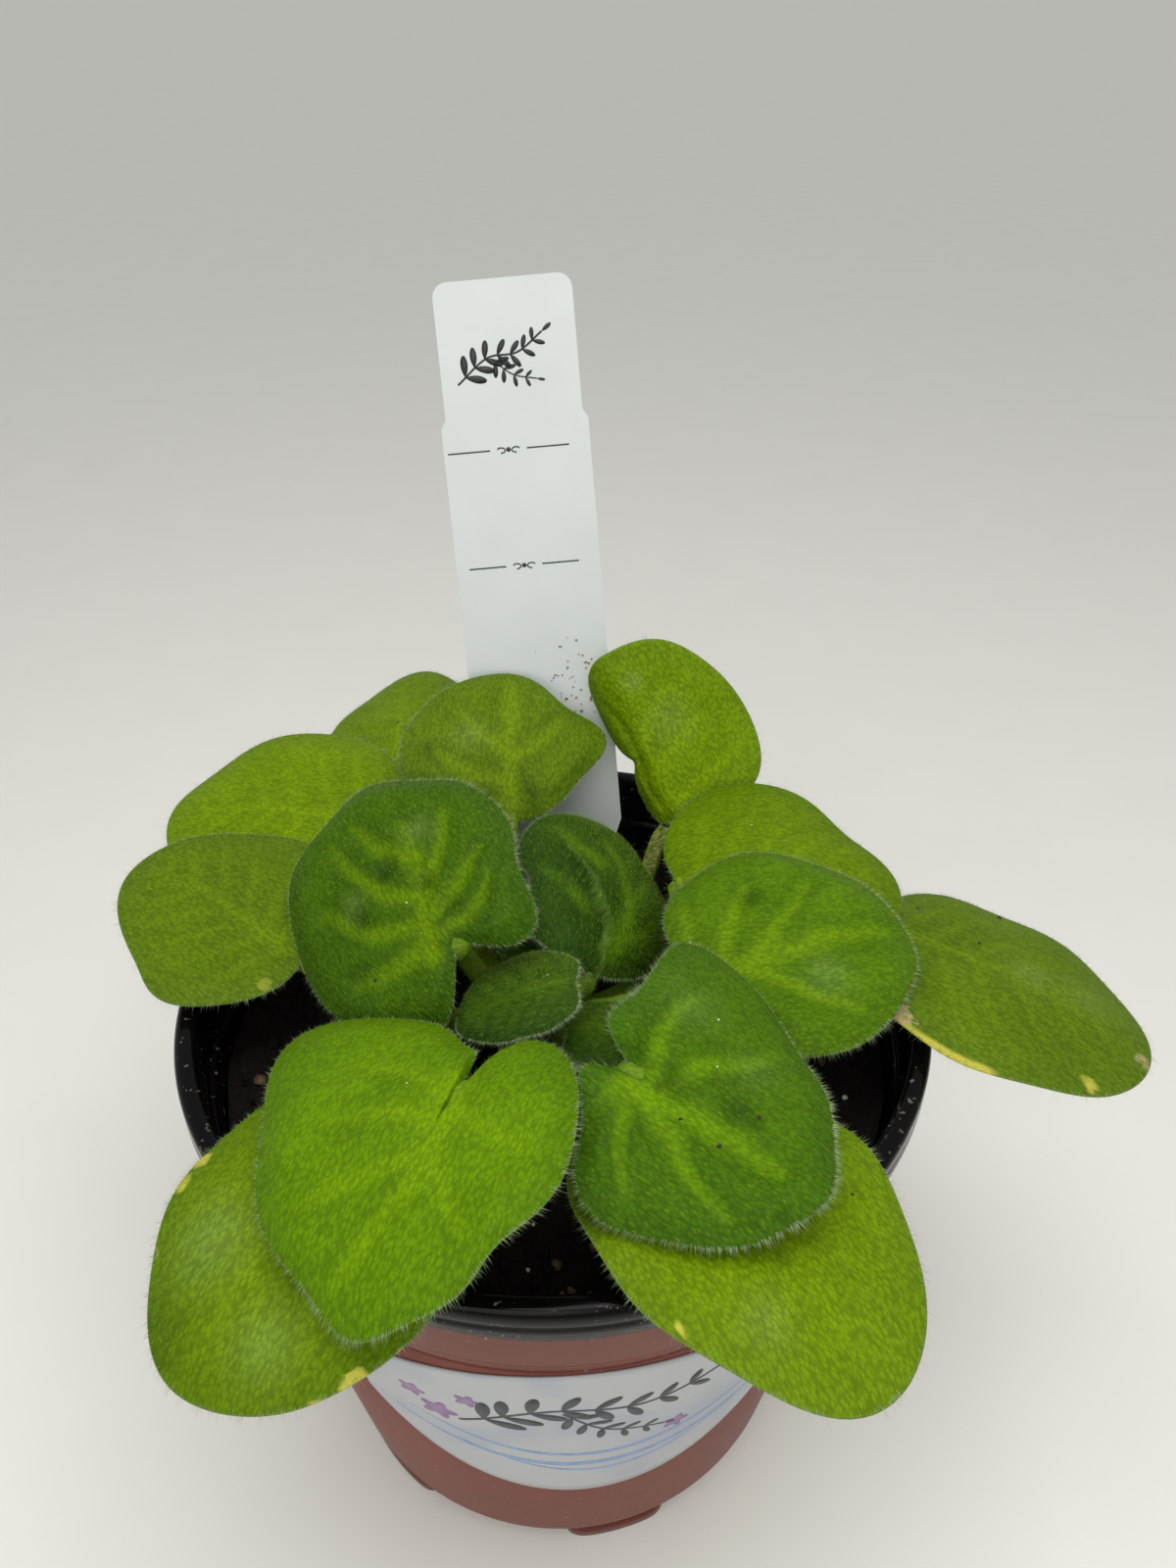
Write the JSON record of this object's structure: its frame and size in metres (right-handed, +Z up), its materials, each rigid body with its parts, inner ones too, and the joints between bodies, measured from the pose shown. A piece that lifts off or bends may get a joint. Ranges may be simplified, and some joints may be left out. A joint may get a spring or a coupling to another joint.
{
  "type": "potted african violet",
  "caption": "Low rosette of hairy oval leaves on a short crown, in a round tapered nursery pot with a rolled lip, a wrap label and a leaning plant tag.",
  "frame": {"origin": "on the surface that the pot's feet stand on, under the middle of the plant's outline seen from above; the pot's axis stands at x -9.9 mm, y -8.8 mm", "axes": "+Z up along the pot's axis, -Y towards the side that the leaves lean to, +X to the right seen from -Y"},
  "size_m": [0.158, 0.1574, 0.1811],
  "materials": {
    "pot_plastic": "satin terracotta with a black inside and lip",
    "label_paper": "coated paper",
    "potting_soil": "damp and crumbly",
    "tag_plastic": "white satin",
    "crown_tissue": "hairy stem tissue",
    "grown_leaf": "velvety",
    "young_leaf": "velvety with dense hairs"
  },
  "bodies": {
    "root": {"pot": "pot_plastic", "pot_label": "label_paper", "soil": "potting_soil", "plant_tag": "tag_plastic", "crown": "crown_tissue", "leaf_right_outer": "grown_leaf", "leaf_right": "grown_leaf", "leaf_front_right": "grown_leaf", "leaf_front_left": "grown_leaf", "leaf_front_left_low": "grown_leaf", "leaf_front_right_low": "grown_leaf", "leaf_left": "grown_leaf", "leaf_centre_left": "grown_leaf", "leaf_back": "grown_leaf", "leaf_back_left_low": "grown_leaf", "leaf_back_left": "grown_leaf", "leaf_back_upright": "grown_leaf", "leaf_back_right": "grown_leaf", "leaf_young_centre": "young_leaf", "leaf_young_front": "young_leaf", "leaf_young_right": "young_leaf", "leaf_young_back": "young_leaf"}
  },
  "joints": []
}
